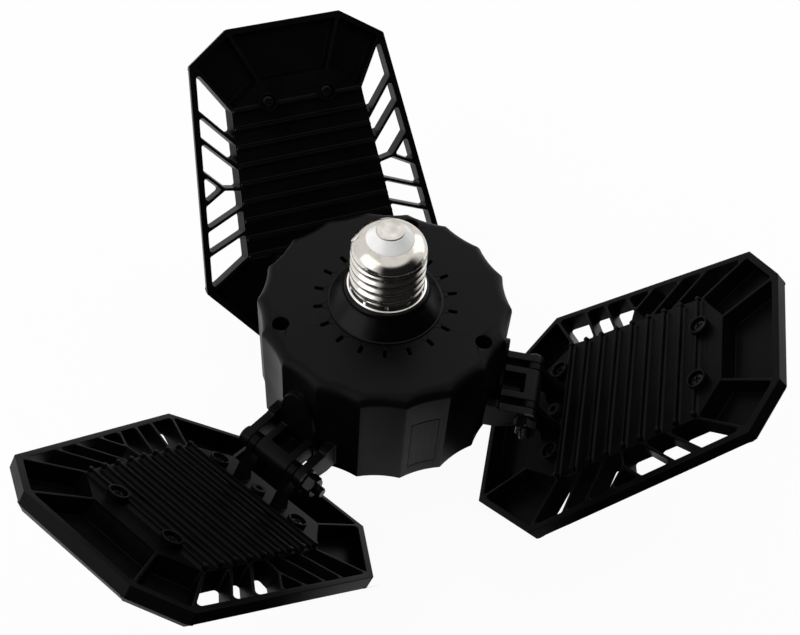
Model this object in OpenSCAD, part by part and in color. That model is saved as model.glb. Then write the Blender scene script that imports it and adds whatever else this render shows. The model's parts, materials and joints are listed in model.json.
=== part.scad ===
// Three-panel garage light that screws into a lamp socket.
// A fluted hub carries the screw cap and the driver, and three finned light panels
// tilt on bolts round its foot. The origin is where the cap's rim seats on its holder,
// on the cap's axis, and +Z points out of the cap's end contact.

/* [Screw cap] */
// Diameter over the crests of the rolled thread
cap_thread_d = 26.4; // [24:0.1:30]
// Depth of the rolled thread
cap_thread_depth = 0.9; // [0.4:0.1:1.4]
// Distance from one thread crest to the next
cap_pitch = 3.63; // [3:0.01:4.5]
// Number of thread crests below the shoulder
cap_turns = 4; // [3:1:5]
// Thickness of the shell's sheet
cap_sheet = 0.5; // [0.3:0.1:0.8]
// Height of the plain skirt below the thread
cap_skirt_h = 2.4; // [1.6:0.1:5]
// Diameter of the skirt
cap_skirt_d = 26; // [25:0.1:29]
// Diameter of the rim at the shell's foot
cap_rim_d = 28; // [27:0.1:32]
// Height of that rim
cap_rim_h = 0.6; // [0.4:0.1:1]
// Height of the domed shoulder
cap_shoulder_h = 3.9; // [2.5:0.1:6]
// Diameter of the insulator where it leaves the shell
insulator_d = 16.5; // [12:0.1:20]
// Height of the insulator above the shell
insulator_h = 3.7; // [3:0.1:7]
// Diameter of the end contact
contact_d = 9.86; // [7:0.01:11]
// Height of the end contact above the insulator
contact_h = 0.6; // [0.3:0.1:1.2]

/* [Cap holder] */
// Diameter of the cone's foot on the hub
holder_foot_d = 41; // [34:0.5:50]
// Diameter of the cone's top
holder_top_d = 29.8; // [29:0.1:36]
// Height of the whole holder above the hub
holder_h = 9; // [6:0.1:16]
// Height of the rounded edge at the top of the cone
holder_edge_h = 1.7; // [1:0.1:2.4]
// Height of the bead round the cone's foot
holder_bead_h = 0.5; // [0.3:0.1:1]
// Wall of the holder's neck
holder_wall = 2.4; // [1.6:0.1:3.5]
// Height of the neck inside the cap
neck_h = 9; // [5:0.5:12]

/* [Hub] */
// Radius over the hub's ridges, at the top
hub_r = 45.5; // [43:0.5:55]
// Height of the hub
hub_h = 47; // [42:0.5:60]
// Number of flutes
flute_count = 18; // [18:18:36]
// Depth of a flute below the line from ridge to ridge
flute_depth = 0.9; // [0.5:0.1:1.5]
// Radius of the rounded shoulder
shoulder_r = 4; // [2:0.5:6]
// Draft of the fluted wall, in degrees
wall_draft = 1; // [0:0.5:2]
// Wall of the hub
hub_wall = 2.2; // [1.8:0.1:3]
// Thickness of the hub's roof
hub_roof = 2.6; // [2:0.1:4]
// Radius of the ring of vent slots
vent_ring_r = 24.1; // [23:0.1:30]
// Length of a vent slot
vent_l = 3.2; // [2:0.1:4]
// Width of a vent slot
vent_w = 1.3; // [0.8:0.1:2]
// Distance from the hub's inner wall in to the housing screws
tower_inset = 2.6; // [2:0.1:5]
// Width across the blank plug in the side
plug_w = 10; // [6:0.5:12]
// Height of the blank plug
plug_h = 25.5; // [15:0.5:28]
// Distance from the hub's top down to the plug
plug_drop = 15.5; // [12:0.5:18]

/* [Hinges] */
// Distance from the ridges out to the hinge bolts
hinge_reach = 11.2; // [10:0.1:16]
// Distance from the hub's top down to the hinge bolts
hinge_drop = 36.8; // [33:0.1:40]
// Diameter of the hinge bolts
bolt_d = 4; // [3:0.5:5]
// Radius of the knuckles round the bolts
knuckle_r = 3.7; // [3.4:0.1:4.4]
// Half width of the yoke in the middle of a hinge
yoke_half = 7.3; // [6:0.1:9]
// Thickness of the yoke's arms
yoke_arm_t = 3; // [2:0.1:4]
// Thickness of a panel's lugs
lug_t = 2.9; // [2:0.1:4]
// Thickness of the hub's ears
ear_t = 3.4; // [2.5:0.1:5]
// Running gap between the leaves of a hinge
leaf_gap = 0.3; // [0.2:0.05:0.6]
// Tilt of the panel at the back, in degrees above level
tilt_angle_back = 52.4; // [0:0.1:90]
// Tilt of the panel on the left
tilt_angle_left = 40.9; // [0:0.1:90]
// Tilt of the panel on the right
tilt_angle_right = 47.7; // [0:0.1:90]

/* [Panels] */
// Distance from the hinge bolt to the rim's back face
panel_drop = 15.9; // [14:0.1:22]
// Length of a panel outwards from its hinge bolt
panel_out_l = 94.3; // [85:0.1:120]
// Length of a panel inwards from its hinge bolt
panel_in_l = 35.1; // [30:0.1:37]
// Width of the outer end
panel_out_w = 46.2; // [40:0.2:60]
// Width at the outer corners of the long sides
panel_side_out_w = 80.2; // [72:0.2:90]
// Width at the inner corners of the long sides
panel_side_in_w = 102.2; // [90:0.2:106]
// Width of the inner end
panel_in_w = 56.8; // [50:0.2:60]
// Length of the outer chamfers
panel_out_chamfer = 11.4; // [8:0.1:16]
// Length of the inner chamfers
panel_in_chamfer = 28.2; // [20:0.1:32]
// Width of the rim
rim_t = 2.5; // [1.5:0.1:4]
// Depth of the rim
rim_depth = 7; // [5:0.1:9]
// How far the rim's outer wall slopes in over its depth
rim_draw = 1.7; // [0:0.1:2]
// How far the plate's edge slopes out over that depth
plate_draw = 1.6; // [0:0.1:3]
// How much each rib gains on each side over that depth
rib_draw = 0.6; // [0:0.1:1]
// Thickness of the floor of the closed end cells
cell_floor = 0.8; // [0.5:0.1:1.2]
// Thickness of the ribs
rib_t = 1.1; // [0.8:0.1:2]
// Radius in the corners of the cells and slots
cell_corner_r = 1; // [0.4:0.1:2]

/* [Plates] */
// Length of the finned plate outwards from the bolt
plate_out_l = 72.5; // [68:0.1:76]
// Length of the finned plate inwards from the bolt
plate_in_l = 12.5; // [10:0.1:18]
// Width of the plate's outer end
plate_out_w = 28.6; // [24:0.2:36]
// Width at the outer corners of the plate's sides
plate_side_out_w = 54; // [48:0.2:60]
// Width at the inner corners of the plate's sides
plate_side_in_w = 63.8; // [58:0.2:70]
// Width of the plate's inner end
plate_in_w = 42.4; // [36:0.2:48]
// Length of the plate's outer chamfers
plate_out_chamfer = 8.9; // [6:0.1:12]
// Length of the plate's inner chamfers
plate_in_chamfer = 16.4; // [12:0.1:18]
// Thickness of the plate
plate_t = 3; // [2:0.1:3.8]
// Height of the plate above the rim
plate_rise = 0.2; // [0:0.1:0.6]
// Number of cooling fins
fin_count = 9; // [5:1:9]
// Distance from the bolt to the first fin
fin_first = 4.34; // [4:0.1:6]
// Distance from fin to fin
fin_pitch = 7.28; // [6:0.01:7.4]
// Thickness of a fin's top
fin_t = 1; // [0.7:0.1:2]
// Thickness of a fin's foot
fin_foot_t = 2.6; // [2:0.1:3.6]
// Height of a fin
fin_h = 1.9; // [1:0.1:4]
// Distance from a fin's end to the plate's side
fin_margin = 0.7; // [0.5:0.1:3]
// Distance from the bolt to the outer lens screws
screw_out_l = 63.9; // [60:0.1:66]
// Spread of the outer lens screws
screw_out_w = 24.2; // [18:0.1:30]
// Distance from the bolt to the inner lens screws
screw_in_l = 0.4; // [0:0.1:1]
// Spread of the inner lens screws
screw_in_w = 38; // [34:0.1:42]
// Radius of the bosses round the lens screws
boss_r = 3.7; // [3.4:0.1:4]
// Height of those bosses above the rim
boss_h = 2.9; // [2.2:0.1:4]
// Wall of the lip round the lens
lip_t = 1.2; // [0.8:0.1:2]
// Height of the lens in front of the plate
lens_h = 6.4; // [5:0.1:8]
// Wall of the lens
lens_wall = 1.5; // [1:0.1:2]
// Thickness of the LED board
led_board_t = 1.2; // [0.8:0.1:2]
// Rows of LED chips along a panel
chip_rows = 8; // [4:1:9]
// LED chips in a row
chip_columns = 4; // [2:1:4]

/* [Hidden] */
$fn = 64;

// Clearances: pieces that seat, the bolts in their holes, screws in their holes
seat_fit = 0.1;
bolt_fit = 0.06;
screw_fit = 0.2;
thread_fit = 0.05;
// How far every cutter runs past the face that it opens
over = 1;

// Levels along the light's axis
hub_top = -holder_h;
hub_foot = hub_top - hub_h;
roof_under = hub_top - hub_roof;
hinge_z = hub_top - hinge_drop;
hinge_r = hub_r + hinge_reach;

// Flutes: an arc from ridge to ridge about an axis outside the hub
flute_half_angle = 180 / flute_count;
flute_mid_r = hub_r * cos(flute_half_angle) - flute_depth;
ridge_half = hub_r * sin(flute_half_angle);
flute_r = (flute_depth * flute_depth + ridge_half * ridge_half) / (2 * flute_depth);
flute_steps = 6;
shoulder_steps = 4;
cavity_r = flute_mid_r - hub_h * tan(wall_draft) - hub_wall;

// Places round the axis, in degrees
hinge_angles = [90, 210, 330];
panel_tilts = [tilt_angle_back, tilt_angle_left, tilt_angle_right];
tower_angles = [56.8, 179.3, 313.1];
post_angles = [30, 150, 270];
plug_angle = 270;

// Screw cap
cap_inner_r = cap_thread_d / 2 - cap_thread_depth - cap_sheet;
cap_wave_low = cap_skirt_h + cap_pitch / 6;
cap_wave_high = cap_wave_low + cap_turns * cap_pitch;
cap_dome_low = cap_wave_high + cap_pitch / 3;
cap_top = cap_dome_low + cap_shoulder_h;
wave_steps = 8;
dome_steps = 6;
insulator_seat_t = 1.4;
insulator_top_d = 10.6;
contact_z = cap_top + insulator_h;
contact_pin_d = 2.4;
cap_lead_d = 1.6;
cap_lead_off = 5;

// Cap holder
holder_hole_r = 18;
holder_lip_t = 1.6;
holder_lip_r = 19.5;

// Hub details
tower_r = 4.2;
tower_ring_r = cavity_r - tower_inset;
tower_seat_drop = 30;
tower_floor_t = 2.4;
housing_screw_d = 3;
housing_screw_head_d = 5.6;
housing_screw_head_h = 2;
recess_d = 5.8;
base_t = 2.6;
base_boss_r = 3.4;
base_boss_edge = 0.3;
base_boss_ring_r = cavity_r - seat_fit - base_boss_edge - base_boss_r;
board_gap = 0.6;
board_r = tower_ring_r - tower_r - board_gap;
board_t = 1.6;
board_lift = 13.4;
post_edge = 5.5;
post_ring_r = board_r - post_edge;
post_r = 3;
board_screw_d = 2.5;
board_screw_head_d = 4.6;
board_screw_head_h = 1.4;
board_screw_l = 8;
plug_gap = 0.15;
plug_depth = 5;
pad_proud = 2;
pad_arch_h = 25;
pad_arch_steps = 12;
lead_hole_r = 2.4;

// Hinge leaves, measured along the bolt from the middle of the hinge
lug_in = yoke_half + leaf_gap;
lug_out = lug_in + lug_t;
ear_in = lug_out + leaf_gap;
ear_out = ear_in + ear_t;
yoke_nose = 2.6;
yoke_web_t = 1.2;
yoke_web_rise = 0.5;
ear_rise = 1.4;
ear_arc_steps = 4;
ear_sink = 3.4;
ear_root_r = flute_mid_r - hub_wall;
bolt_hole_r = bolt_d / 2 + bolt_fit;
washer_d = 9;
washer_t = 1;
nut_width = 7;
nut_t = 4;
bolt_head_d = 7;
bolt_head_t = 1.3;
bolt_end = 3;

// Driver pieces, standing on the board
transformer_plan_shares = [0.567, 0.597];
transformer_place_share = 0.507;
transformer_h = 17;
transformer_size = [board_r * transformer_plan_shares[0], board_r * transformer_plan_shares[1],
    transformer_h];
transformer_foot_share = 0.25;
transformer_coil_share = 0.8;
capacitor_share = 0.388;
capacitor_d = board_r * capacitor_share;
capacitor_h = 19;
capacitor_place_shares = [0.388, 0.27];
capacitor_at = [for (side = [-1, 1])
    [board_r * capacitor_place_shares[0], side * board_r * capacitor_place_shares[1]]];

// Panel levels, measured from the hinge bolt along the panel's back
rim_w = -panel_drop;
plate_w = rim_w + plate_rise;
plate_front_w = plate_w - plate_t;
rim_front_w = rim_w - rim_depth;
plate_bite = 0.2;
lens_front_w = plate_front_w - lens_h;
boss_top_w = rim_w + boss_h;
lens_screw_d = 3;
lens_screw_head_d = 5.4;
lens_screw_head_h = 1.3;
lens_screw_sink = 0.9;
lens_screw_end = 1;
pillar_r = 2.7;
lug_foot_edge = 0.4;
lug_foot_out = fin_first - fin_foot_t / 2 - lug_foot_edge;
lug_foot_in = 6.5;
lug_foot_h = 4;
gland_r = 2.8;
gland_h = 2.6;
gland_bore_r = 1.4;
gland_hole_r = 1.9;
chip_size = [2.8, 2.8, 0.7];
chip_margin_out = 14;
chip_margin_in = 4.2;
chip_side_share = 0.72;

// Outlines of a panel's rim and plate: outwards along x, along the bolt in y
rim_outline = octagon(panel_out_l, panel_in_l, panel_out_w, panel_side_out_w, panel_side_in_w,
    panel_in_w, panel_out_chamfer, panel_in_chamfer);
rim_inside = inset(rim_outline, rim_t);
plate_outline = octagon(plate_out_l, plate_in_l, plate_out_w, plate_side_out_w,
    plate_side_in_w, plate_in_w, plate_out_chamfer, plate_in_chamfer);
lens_outline = inset(plate_outline, lip_t + seat_fit);
board_outline = inset(lens_outline, lens_wall + seat_fit);

// Ribs across a long side, as shares of the way from its outer to its inner corner
rib_plate_shares = [0, 0.22, 0.387, 0.655, 0.822, 1];
rib_rim_shares = [0, 0.192, 0.311, 0.723, 0.836, 1];
fork_plate_share = 0.529;
fork_rim_shares = [0.463, 0.605];
fork_reach_share = 0.45;

function mix(a, b, t) = a + (b - a) * t;
function left_of(v) = [-v[1], v[0]] / norm(v);
function side_line(p, q, d) = [p + left_of(q - p) * d, q + left_of(q - p) * d];
function turn(a, b) = a[0] * b[1] - a[1] * b[0];
function meet(a, b) =
    let (da = a[1] - a[0], db = b[1] - b[0])
    a[0] + da * turn(b[0] - a[0], db) / turn(da, db);
function corners(lines) =
    [for (i = [0 : len(lines) - 1]) meet(lines[i], lines[(i + 1) % len(lines)])];
function inset(shape, d) =
    let (n = len(shape))
    corners([for (i = [0 : n - 1]) side_line(shape[(i + n - 1) % n], shape[i], d)]);
function octagon(out_l, in_l, out_w, side_out_w, side_in_w, in_w, out_c, in_c) = [
    [out_l, -out_w / 2],
    [out_l, out_w / 2],
    [out_l - out_c, side_out_w / 2],
    [in_c - in_l, side_in_w / 2],
    [-in_l, in_w / 2],
    [-in_l, -in_w / 2],
    [in_c - in_l, -side_in_w / 2],
    [out_l - out_c, -side_out_w / 2]];

// A corner's arc, with the radius held to what its two sides leave room for
corner_side_share = 0.42;
corner_steps = 3;
function corner_arc(before, at, after, r) =
    let (a = before - at, b = after - at)
    let (ua = a / norm(a), ub = b / norm(b))
    let (half = acos(ua * ub) / 2)
    let (reach = min(r / tan(half), corner_side_share * min(norm(a), norm(b))))
    let (radius = reach * tan(half), centre = at + (ua + ub) / norm(ua + ub) * reach / cos(half))
    let (from = at + ua * reach - centre, sweep = 180 - 2 * half)
    [for (i = [0 : corner_steps])
        let (angle = sweep * i / corner_steps)
        centre + [from[0] * cos(angle) - from[1] * sin(angle),
            from[0] * sin(angle) + from[1] * cos(angle)]];
function rounded(shape, r) =
    let (n = len(shape))
    [for (i = [0 : n - 1])
        each corner_arc(shape[(i + n - 1) % n], shape[i], shape[(i + 1) % n], r)];

// A cell between two ribs, each given by its plate end and its rim end. Every cell is drawn
// at the casting's back, and again at its front, where the walls have grown by their draws.
function rib_half(low) = rib_t / 2 + low * rib_draw;
function plate_side(low) = low * plate_draw - plate_bite;
function cell(p0, q0, q1, p1, low) = corners([
    side_line(p0, q0, rib_half(low)),
    [q0, q1],
    side_line(q1, p1, rib_half(low)),
    side_line(p1, p0, plate_side(low))]);
function side_plate(share) = mix(plate_outline[2], plate_outline[3], share);
function side_rim(share) = mix(rim_inside[2], rim_inside[3], share);
fork_foot = side_plate(fork_plate_share);
fork_ends = [side_rim(fork_rim_shares[0]), side_rim(fork_rim_shares[1])];
fork_node = mix(fork_foot, (fork_ends[0] + fork_ends[1]) / 2, fork_reach_share);
function straight_slot(i, low) = cell(side_plate(rib_plate_shares[i]), side_rim(rib_rim_shares[i]),
    side_rim(rib_rim_shares[i + 1]), side_plate(rib_plate_shares[i + 1]), low);
function fork_slot_out(i, low) =
    let (p = side_plate(rib_plate_shares[i]), q = side_rim(rib_rim_shares[i]))
    corners([
        side_line(p, q, rib_half(low)),
        [q, fork_ends[0]],
        side_line(fork_ends[0], fork_node, rib_half(low)),
        side_line(fork_node, fork_foot, rib_half(low)),
        side_line(fork_foot, p, plate_side(low))]);
function fork_slot_middle(low) = corners([
    side_line(fork_node, fork_ends[0], rib_half(low)),
    [fork_ends[0], fork_ends[1]],
    side_line(fork_ends[1], fork_node, rib_half(low))]);
function fork_slot_in(i, low) =
    let (p = side_plate(rib_plate_shares[i]), q = side_rim(rib_rim_shares[i]))
    corners([
        side_line(fork_foot, fork_node, rib_half(low)),
        side_line(fork_node, fork_ends[1], rib_half(low)),
        [fork_ends[1], q],
        side_line(q, p, rib_half(low)),
        side_line(p, fork_foot, plate_side(low))]);
function side_slots(low) = [straight_slot(0, low), straight_slot(1, low), fork_slot_out(2, low),
    fork_slot_middle(low), fork_slot_in(3, low), straight_slot(3, low), straight_slot(4, low)];

// Half width of the plate at a distance from the bolt, between its side corners
function plate_half_at(x) =
    mix(plate_outline[3][1], plate_outline[2][1],
        (x - plate_outline[3][0]) / (plate_outline[2][0] - plate_outline[3][0]));
lens_screw_places = [
    [screw_out_l, screw_out_w / 2],
    [screw_out_l, -screw_out_w / 2],
    [screw_in_l, screw_in_w / 2],
    [screw_in_l, -screw_in_w / 2]];

module black() { color([0.045, 0.045, 0.048]) children(); }
module gloss_black() { color([0.02, 0.02, 0.022]) children(); }
module steel() { color([0.62, 0.62, 0.64]) children(); }
module nickel() { color([0.78, 0.76, 0.72]) children(); }
module copper_green() { color([0.1, 0.35, 0.2]) children(); }

module tube(r, from, to) { translate([0, 0, from]) cylinder(r = r, h = to - from); }
module hexagon(width, from, to) {
    translate([0, 0, from]) cylinder(d = width / cos(30), h = to - from, $fn = 6);
}

// Places of the three hinges: x outwards, y along the bolt
module at_hinge(i) { rotate([0, 0, hinge_angles[i]]) children(); }
module at_hinges() { for (i = [0 : len(hinge_angles) - 1]) at_hinge(i) children(); }
module on_bolt() { translate([hinge_r, 0, hinge_z]) rotate([-90, 0, 0]) children(); }
// An outline drawn in x and z, as thick as from one place along the bolt to another
module leaf(from, to) {
    translate([0, to, 0]) rotate([90, 0, 0]) linear_extrude(to - from) children();
}
// A panel's own place: x along the panel outwards, y along the bolt, z out of its back
module at_panel(i) {
    at_hinge(i) translate([hinge_r, 0, hinge_z]) rotate([0, -panel_tilts[i], 0]) children();
}

// Hub
// Distance from the hub's axis to a flute's surface, at an angle from the flute's middle.
// The surface is moved in by d, and the flute's own axis stands axis_r from the hub's.
function flute_reach(angle, d, axis_r) =
    axis_r * cos(angle) - sqrt(pow(flute_r + d, 2) - pow(axis_r * sin(angle), 2));
function hub_ring(d, z) =
    let (axis_r = flute_mid_r + flute_r - (hub_top - z) * tan(wall_draft))
    [for (i = [0 : flute_count * flute_steps - 1])
        let (off = (i % flute_steps - flute_steps / 2) * 2 * flute_half_angle / flute_steps)
        let (at = 2 * flute_half_angle * i / flute_steps)
        flute_reach(off, d, axis_r) * [cos(at), sin(at), 0] + [0, 0, z]];
module fluted_body() {
    rings = [
        hub_ring(0, hub_foot),
        for (i = [0 : shoulder_steps])
            let (angle = 90 * i / shoulder_steps)
            hub_ring(shoulder_r * (1 - cos(angle)), hub_top - shoulder_r * (1 - sin(angle)))];
    n = flute_count * flute_steps;
    last = len(rings) - 1;
    polyhedron([for (ring = rings) each ring], [
        [for (i = [0 : n - 1]) i],
        for (k = [0 : last - 1], i = [0 : n - 1])
            let (j = (i + 1) % n)
            each [[k * n + i, k * n + n + i, k * n + n + j], [k * n + i, k * n + n + j, k * n + j]],
        [for (i = [n - 1 : -1 : 0]) last * n + i]]);
}
module pad_outline() {
    arch_z = hinge_z + pad_arch_h - ridge_half;
    polygon([[-ridge_half, hub_foot], [ridge_half, hub_foot],
        for (i = [0 : pad_arch_steps])
            let (angle = 180 * i / pad_arch_steps)
            [ridge_half * cos(angle), arch_z - ridge_half + 2 * ridge_half * sin(angle)]]);
}
module ear_outline() {
    polygon([
        [hinge_r, hinge_z + knuckle_r],
        for (i = [0 : ear_arc_steps])
            let (angle = 90 * i / ear_arc_steps)
            [hub_r + ear_rise * (1 - sin(angle)), hinge_z + knuckle_r + ear_rise * (1 - cos(angle))],
        [ear_root_r / 2, hinge_z + knuckle_r + ear_rise],
        [ear_root_r / 2, hinge_z - knuckle_r - ear_sink],
        [hub_r, hinge_z - knuckle_r - ear_sink],
        [hinge_r, hinge_z - knuckle_r]]);
    translate([hinge_r, hinge_z]) circle(r = knuckle_r);
}
module arm_outline() {
    translate([ear_root_r / 2, hinge_z - knuckle_r])
        square([hinge_r - ear_root_r / 2, 2 * knuckle_r]);
    translate([hinge_r, hinge_z]) circle(r = knuckle_r);
}
module web_outline() {
    translate([ear_root_r / 2, hinge_z - knuckle_r + yoke_web_rise])
        square([hinge_r - yoke_nose / 2 - ear_root_r / 2, yoke_web_t]);
}
module nose_outline() {
    translate([hinge_r - yoke_nose, hinge_z - knuckle_r]) square([yoke_nose, 2 * knuckle_r]);
    translate([hinge_r, hinge_z]) circle(r = knuckle_r);
}
module hub_fork() {
    rotate([90, 0, 90]) linear_extrude(flute_mid_r + pad_proud) pad_outline();
    leaf(-yoke_half, yoke_half) nose_outline();
    leaf(yoke_arm_t / 2 - yoke_half, yoke_half - yoke_arm_t / 2) web_outline();
    for (side = [-1, 1]) {
        middle = side * (yoke_half - yoke_arm_t / 2);
        leaf(middle - yoke_arm_t / 2, middle + yoke_arm_t / 2) arm_outline();
        ear_middle = side * (ear_in + ear_t / 2);
        leaf(ear_middle - ear_t / 2, ear_middle + ear_t / 2) ear_outline();
    }
}
module vent_slot() {
    straight = vent_l - vent_w;
    linear_extrude(hub_roof + 2 * over) {
        square([straight, vent_w], center = true);
        for (side = [-1, 1]) translate([side * straight / 2, 0]) circle(d = vent_w, $fn = 24);
    }
}
module plug_box(gap) {
    translate([0, -plug_w / 2 - gap, hub_top - plug_drop - plug_h - gap])
        cube([hub_r + over, plug_w + 2 * gap, plug_h + 2 * gap]);
}
module hub_housing() {
    black() difference() {
        union() {
            difference() {
                union() {
                    fluted_body();
                    at_hinges() hub_fork();
                }
                tube(cavity_r, hub_foot - over, roof_under);
            }
            for (angle = tower_angles) rotate([0, 0, angle]) translate([tower_ring_r, 0, 0])
                tube(tower_r, hub_top - tower_seat_drop - tower_floor_t, roof_under + hub_roof / 2);
        }
        tube(holder_hole_r + seat_fit, roof_under - over, hub_top + over);
        for (i = [0 : flute_count - 1]) rotate([0, 0, (2 * i + 1) * flute_half_angle])
            translate([vent_ring_r, 0, roof_under - over]) vent_slot();
        for (angle = tower_angles) rotate([0, 0, angle]) translate([tower_ring_r, 0, 0]) {
            tube(recess_d / 2, hub_top - tower_seat_drop, hub_top + over);
            tube(housing_screw_d / 2 + screw_fit, hub_top - tower_seat_drop - tower_floor_t - over,
                hub_top - tower_seat_drop + over);
        }
        rotate([0, 0, plug_angle]) plug_box(plug_gap);
        at_hinges() {
            translate([cavity_r / 2, 0, hinge_z]) rotate([0, 90, 0])
                cylinder(r = lead_hole_r, h = hinge_r - yoke_nose - cavity_r / 2 - over);
            on_bolt() tube(bolt_hole_r, -ear_out - over, ear_out + over);
        }
    }
}
module side_plug() {
    black() difference() {
        intersection() {
            fluted_body();
            rotate([0, 0, plug_angle]) plug_box(0);
        }
        tube(flute_mid_r - plug_depth, hub_foot - over, hub_top + over);
    }
}
module hub_base() {
    boss_top = hub_top - tower_seat_drop - tower_floor_t;
    black() difference() {
        union() {
            tube(cavity_r - seat_fit, hub_foot, hub_foot + base_t);
            for (angle = tower_angles) rotate([0, 0, angle])
                translate([base_boss_ring_r, 0, 0])
                    tube(base_boss_r, hub_foot + base_t / 2, boss_top);
            for (angle = post_angles) rotate([0, 0, angle]) translate([post_ring_r, 0, 0])
                tube(post_r, hub_foot + base_t / 2, hub_foot + base_t + board_lift);
        }
        for (angle = tower_angles) rotate([0, 0, angle]) translate([tower_ring_r, 0, 0])
            tube(housing_screw_d / 2 + thread_fit, hub_foot + base_t, boss_top + over);
        for (angle = post_angles) rotate([0, 0, angle]) translate([post_ring_r, 0, 0])
            tube(board_screw_d / 2 + thread_fit, hub_foot + base_t, hub_foot + base_t + board_lift + over);
    }
}
module housing_screws() {
    seat = hub_top - tower_seat_drop;
    steel() for (angle = tower_angles) rotate([0, 0, angle]) translate([tower_ring_r, 0, 0]) {
        tube(housing_screw_head_d / 2, seat, seat + housing_screw_head_h);
        tube(housing_screw_d / 2, hub_foot + base_t + over, seat + housing_screw_head_h / 2);
    }
}

// Cap holder and screw cap
module cap_holder() {
    neck_r = cap_inner_r - seat_fit;
    black() rotate_extrude() polygon([
        [neck_r - holder_wall, roof_under - holder_lip_t],
        [holder_hole_r, roof_under - holder_lip_t],
        [holder_lip_r, roof_under - holder_lip_t / 2],
        [holder_lip_r, roof_under],
        [holder_hole_r, roof_under],
        [holder_hole_r, hub_top],
        [holder_foot_d / 2, hub_top],
        [holder_foot_d / 2, hub_top + holder_bead_h],
        [holder_foot_d / 2 - holder_bead_h, hub_top + holder_bead_h],
        for (i = [0 : dome_steps])
            let (angle = 90 * i / dome_steps)
            [holder_top_d / 2 - holder_edge_h * (1 - cos(angle)),
                -holder_edge_h * (1 - sin(angle))],
        [neck_r, 0],
        [neck_r, neck_h],
        [neck_r - holder_wall, neck_h]]);
}
module cap_shell() {
    crest_r = cap_thread_d / 2;
    nickel() rotate_extrude($fn = 96) polygon([
        [cap_inner_r, 0],
        [cap_rim_d / 2, 0],
        [cap_rim_d / 2, cap_rim_h],
        [cap_skirt_d / 2, cap_rim_h],
        [cap_skirt_d / 2, cap_skirt_h],
        for (i = [0 : wave_steps * cap_turns])
            let (turns = i / wave_steps)
            [crest_r - cap_thread_depth * (1 + cos(360 * turns)) / 2, cap_wave_low + turns * cap_pitch],
        for (i = [0 : dome_steps])
            let (angle = 90 * i / dome_steps)
            [mix(insulator_d / 2, crest_r, cos(angle)), cap_dome_low + cap_shoulder_h * sin(angle)],
        [insulator_d / 2, cap_top - cap_sheet],
        for (i = [dome_steps : -1 : 0])
            let (angle = 90 * i / dome_steps)
            [mix(insulator_d / 2, cap_inner_r, cos(angle)),
                cap_dome_low + (cap_shoulder_h - cap_sheet) * sin(angle)]]);
}
module cap_insulator() {
    foot_r = cap_inner_r - seat_fit;
    waist_r = insulator_d / 2 - seat_fit;
    color([0.93, 0.93, 0.92]) rotate_extrude() polygon([
        [contact_pin_d / 2 + thread_fit, cap_dome_low - insulator_seat_t],
        [foot_r, cap_dome_low - insulator_seat_t],
        [foot_r, cap_dome_low],
        for (i = [1 : dome_steps])
            let (angle = 90 * i / dome_steps)
            [mix(waist_r, foot_r, cos(angle)),
                cap_dome_low + (cap_shoulder_h - cap_sheet - seat_fit) * sin(angle)],
        [waist_r, cap_top],
        [insulator_top_d / 2, contact_z],
        [contact_pin_d / 2 + thread_fit, contact_z]]);
}
module cap_contact() {
    edge = contact_h / 2;
    nickel() rotate_extrude() polygon([
        [0, cap_dome_low - insulator_seat_t],
        [contact_pin_d / 2, cap_dome_low - insulator_seat_t],
        [contact_pin_d / 2, contact_z],
        [contact_d / 2, contact_z],
        [contact_d / 2, contact_z + edge],
        [contact_d / 2 - edge, contact_z + contact_h],
        [0, contact_z + contact_h]]);
}
module cap_leads() {
    board_top = hub_foot + base_t + board_lift + board_t;
    bend = (neck_h + cap_dome_low - insulator_seat_t) / 2;
    color([0.6, 0.1, 0.08]) {
        tube(cap_lead_d / 2, board_top, cap_dome_low - insulator_seat_t);
        translate([-cap_lead_off, 0, 0]) {
            tube(cap_lead_d / 2, board_top, bend);
            translate([0, 0, bend]) {
                sphere(d = cap_lead_d);
                rotate([0, -90, 0]) tube(cap_lead_d / 2, 0, cap_inner_r - cap_lead_off - seat_fit);
            }
        }
    }
}

// Driver
module driver_board() {
    low = hub_foot + base_t + board_lift;
    copper_green() difference() {
        tube(board_r, low, low + board_t);
        for (angle = post_angles) rotate([0, 0, angle]) translate([post_ring_r, 0, 0])
            tube(board_screw_d / 2 + screw_fit, low - over, low + board_t + over);
    }
}
module board_screws() {
    seat = hub_foot + base_t + board_lift + board_t;
    steel() for (angle = post_angles) rotate([0, 0, angle]) translate([post_ring_r, 0, 0]) {
        tube(board_screw_head_d / 2, seat, seat + board_screw_head_h);
        tube(board_screw_d / 2, seat - board_screw_l, seat + board_screw_head_h / 2);
    }
}
module driver_transformer() {
    low = hub_foot + base_t + board_lift + board_t;
    core = transformer_size;
    gloss_black() translate([-board_r * transformer_place_share, 0, low]) {
        translate([-core[0] / 2, -core[1] / 2, 0]) cube([core[0], core[1], core[2] * transformer_foot_share]);
        translate([-core[0] / 2, -core[1] / 4, 0]) cube([core[0], core[1] / 2, core[2]]);
        translate([0, -core[1] / 2, core[2] / 2]) rotate([-90, 0, 0])
            cylinder(d = core[2] * transformer_coil_share, h = core[1]);
    }
}
module driver_capacitors() {
    low = hub_foot + base_t + board_lift + board_t;
    gloss_black() for (place = capacitor_at) translate([place[0], place[1], low])
        cylinder(d = capacitor_d, h = capacitor_h);
}

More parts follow.
